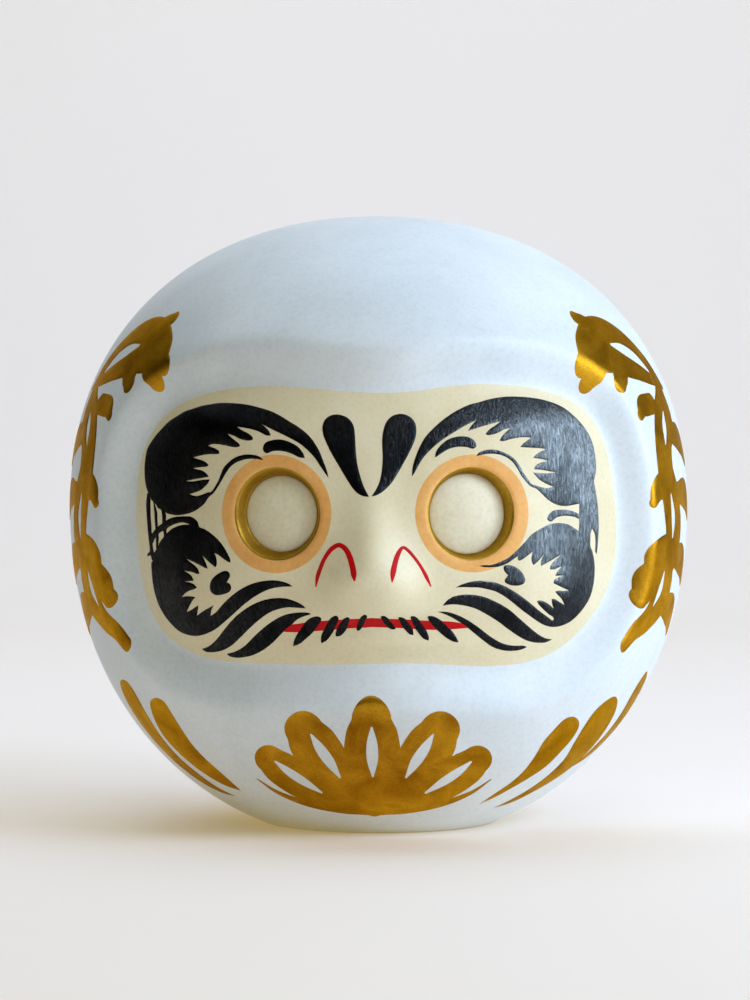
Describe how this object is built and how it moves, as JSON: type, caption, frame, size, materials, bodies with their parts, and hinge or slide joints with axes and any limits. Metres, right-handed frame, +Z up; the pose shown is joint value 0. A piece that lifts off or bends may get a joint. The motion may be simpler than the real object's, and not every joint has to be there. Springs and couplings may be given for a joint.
{
  "type": "daruma wishing doll",
  "caption": "White roly-poly wishing doll with a sunk painted face, blank eyes, black beard strokes and gold lotus and vine paintwork.",
  "frame": {"origin": "centre of the flat underside, on the axis of the round body", "axes": "+Z up through the crown; the painted face looks along -Y; +X is the right-hand side when looking at the face"},
  "size_m": [0.24, 0.2392, 0.235],
  "materials": {
    "white_gofun": "satin chalk-white coat over papier-mache",
    "seam_paper": "matt",
    "dried_clay": "matt, rough",
    "base_sheet": "matt",
    "eye_chalk": "satin",
    "face_cream": "satin paint",
    "ring_orange": "satin paint",
    "lacquer_black": "semi-gloss paint with brush marks",
    "paint_red": "semi-gloss paint",
    "paint_gold": "metallic paint, satin"
  },
  "bodies": {
    "root": {"front_shell": "white_gofun", "back_shell": "white_gofun", "seam_strip": "seam_paper", "base_weight": "dried_clay", "base_paper": "base_sheet", "left_eye_dome": "eye_chalk", "right_eye_dome": "eye_chalk", "left_socket_coat": "paint_gold", "right_socket_coat": "paint_gold", "face_ground": "face_cream", "eye_rings": "ring_orange", "brow_strokes": "lacquer_black", "beard_strokes": "lacquer_black", "forehead_drops": "lacquer_black", "nostril_lines": "paint_red", "mouth_line": "paint_red", "mouth_ticks": "lacquer_black", "gold_front_lotus": "paint_gold", "gold_side_vines": "paint_gold", "gold_pleats": "paint_gold"}
  },
  "joints": []
}
